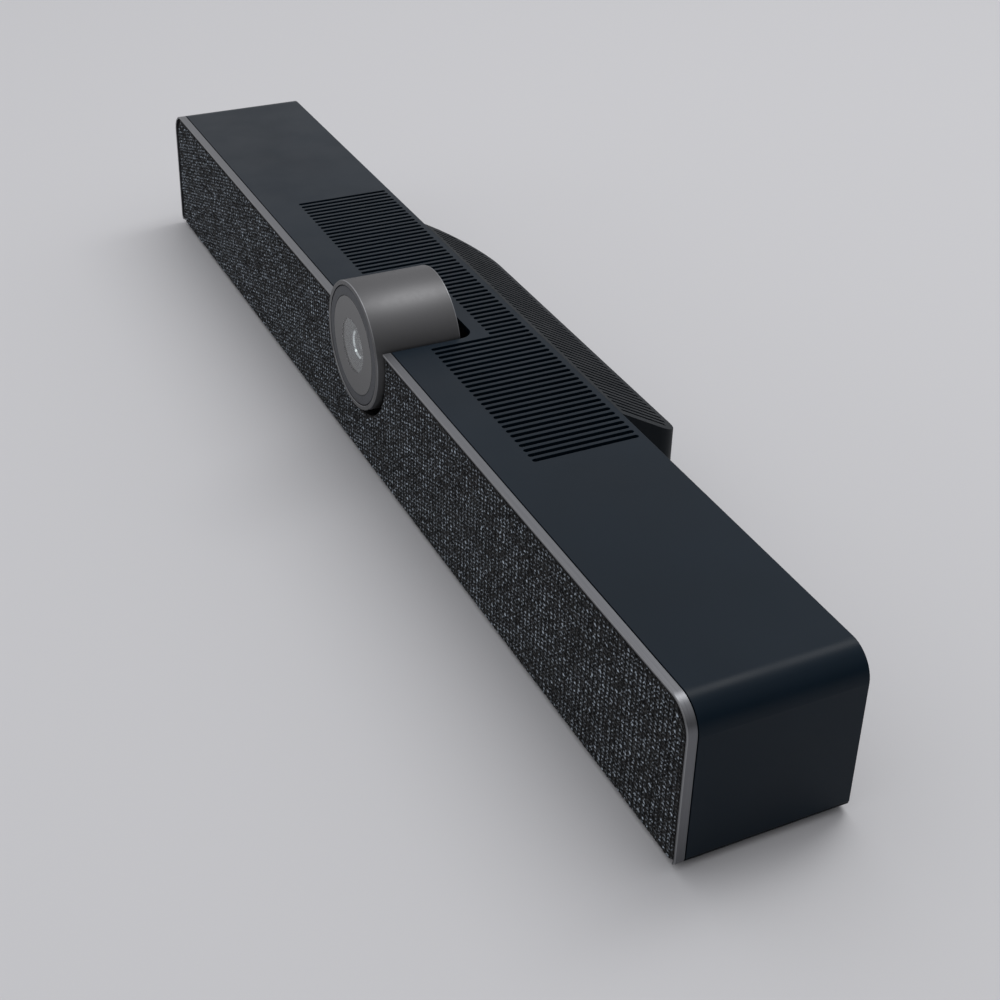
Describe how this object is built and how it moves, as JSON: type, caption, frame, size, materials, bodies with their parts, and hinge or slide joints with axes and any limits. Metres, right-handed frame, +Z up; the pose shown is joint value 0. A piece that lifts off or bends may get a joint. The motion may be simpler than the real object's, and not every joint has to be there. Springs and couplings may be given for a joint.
{
  "type": "conference camera",
  "caption": "Long video and speaker bar with a knit-covered front, a tilting camera barrel let into its vented top, and a sloping rear housing for the sockets.",
  "frame": {"origin": "middle of the overall box at the level of the table that the feet stand on", "axes": "+X along the bar to the user's right as seen from the front fabric's side, +Y to the rear, +Z up"},
  "size_m": [0.438, 0.0794, 0.068],
  "materials": {
    "housing_plastic": "satin moulded plastic",
    "black_plastic": "matt moulded plastic",
    "anodised_metal": "bead-blasted and anodised grey",
    "barrel_metal": "bead-blasted and anodised dark grey",
    "knit_fabric": "heathered dark grey knit",
    "dark_glass": "dark tinted and polished",
    "lens_glass": "coated and polished",
    "steel": "satin",
    "magnet_steel": "dark plated",
    "sink_aluminium": "extruded, satin",
    "brass": "satin",
    "board_green": "solder-masked laminate",
    "chip_plastic": "matt moulded",
    "light_plastic": "matt moulded",
    "bush_plastic": "low-friction moulded plastic",
    "ribbon_amber": "polyimide film",
    "cone_plastic": "matt moulded",
    "pad_grey": "soft filled silicone",
    "black_rubber": "matt"
  },
  "bodies": {
    "bar": {"housing": "housing_plastic", "bottom_cover": "black_plastic", "rear_cover": "housing_plastic", "front_bezel": "anodised_metal", "grille_frame": "black_plastic", "fabric_cover": "knit_fabric", "camera_cradle": "black_plastic", "tilt_bushes": "bush_plastic", "camera_ribbon": "ribbon_amber", "ribbon_connector": "light_plastic", "speaker_box_left": "black_plastic", "speaker_box_right": "black_plastic", "speaker_basket_left": "steel", "speaker_basket_right": "steel", "speaker_surrounds": "black_rubber", "speaker_magnets": "magnet_steel", "mic_board": "board_green", "mic_capsules": "steel", "mic_gaskets": "black_rubber", "main_board": "board_green", "processor": "chip_plastic", "memory_chips": "chip_plastic", "shield_can": "steel", "thermal_pad": "pad_grey", "heat_sink": "sink_aluminium", "dc_jack": "black_plastic", "hdmi_port": "steel", "ethernet_port": "steel", "usb_a_ports": "steel", "usb_c_port": "steel", "reset_switch": "chip_plastic", "security_slot_plate": "steel", "rubber_feet": "black_rubber", "bracket_inserts": "brass", "tripod_insert": "brass", "bottom_screws": "steel", "rear_screws": "steel", "board_screws": "steel", "cradle_screws": "steel", "driver_screws": "steel"},
    "camera": {"barrel_tube": "barrel_metal", "barrel_front_ring": "barrel_metal", "cover_glass": "dark_glass", "lens_mask": "black_plastic", "shutter_carrier": "black_plastic", "shutter_motor": "steel", "lens_holder": "black_plastic", "lens_front_element": "lens_glass", "lens_rear_group": "lens_glass", "lens_retaining_ring": "steel", "image_sensor": "chip_plastic", "sensor_board": "board_green", "barrel_rear_cap": "barrel_metal", "tilt_pins": "steel"},
    "shutter": {"shutter_blade": "black_plastic"},
    "button": {"reset_button": "black_plastic"},
    "cone_left": {"speaker_cone_left": "cone_plastic"},
    "cone_right": {"speaker_cone_right": "cone_plastic"}
  },
  "joints": [
    {"name": "camera_tilt", "type": "hinge", "parent": "bar", "child": "camera", "pos_m": [0, -0.02275, 0.0452], "axis": [1, 0, 0], "range_deg": [-10, 7]},
    {"name": "shutter_swing", "type": "hinge", "parent": "camera", "child": "shutter", "pos_m": [0.0122, -0.03735, 0.0452], "axis": [0, -1, 0], "range_deg": [0, 70]},
    {"name": "reset_press", "type": "slide", "parent": "bar", "child": "button", "axis": [0, -1, 0], "range_m": [0, 0.0006], "stiffness_N_per_m": 2500, "springref_m": -0.0004},
    {"name": "cone_left_travel", "type": "slide", "parent": "bar", "child": "cone_left", "axis": [0, -1, 0], "range_m": [-0.0008, 0.0008], "stiffness_N_per_m": 1500},
    {"name": "cone_right_travel", "type": "slide", "parent": "bar", "child": "cone_right", "axis": [0, -1, 0], "range_m": [-0.0008, 0.0008], "stiffness_N_per_m": 1500}
  ]
}
